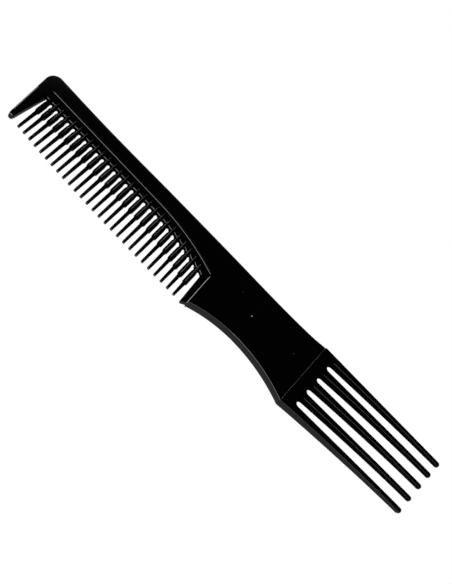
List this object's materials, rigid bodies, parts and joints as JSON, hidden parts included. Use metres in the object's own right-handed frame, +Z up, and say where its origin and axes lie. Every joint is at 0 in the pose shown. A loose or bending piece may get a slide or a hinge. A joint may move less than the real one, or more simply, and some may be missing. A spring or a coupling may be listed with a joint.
{
  "type": "teasing comb with lift fork",
  "caption": "Moulded plastic teasing comb: slim spine with fine ridged teeth and a guard tooth, waisted handle and a long-pronged lifting fork at its far end.",
  "frame": {"origin": "middle of the comb's outline, on the surface that the comb lies on", "axes": "+X along the comb towards the tips of the fork, +Y towards the back edge and away from the teeth, +Z up through the thickness"},
  "size_m": [0.2002, 0.0302, 0.0044],
  "materials": {
    "black_plastic": "polished black moulded plastic"
  },
  "bodies": {
    "root": {"spine": "black_plastic", "guard_tooth": "black_plastic", "tooth_01": "black_plastic", "tooth_02": "black_plastic", "tooth_03": "black_plastic", "tooth_04": "black_plastic", "tooth_05": "black_plastic", "tooth_06": "black_plastic", "tooth_07": "black_plastic", "tooth_08": "black_plastic", "tooth_09": "black_plastic", "tooth_10": "black_plastic", "tooth_11": "black_plastic", "tooth_12": "black_plastic", "tooth_13": "black_plastic", "tooth_14": "black_plastic", "tooth_15": "black_plastic", "tooth_16": "black_plastic", "tooth_17": "black_plastic", "tooth_18": "black_plastic", "tooth_19": "black_plastic", "tooth_20": "black_plastic", "tooth_21": "black_plastic", "tooth_22": "black_plastic", "tooth_23": "black_plastic", "tooth_24": "black_plastic", "tooth_25": "black_plastic", "tooth_26": "black_plastic", "tooth_27": "black_plastic", "heel_tooth": "black_plastic", "handle": "black_plastic", "fork_bridge": "black_plastic", "prong_1": "black_plastic", "prong_2": "black_plastic", "prong_3": "black_plastic", "prong_4": "black_plastic", "prong_5": "black_plastic"}
  },
  "joints": []
}
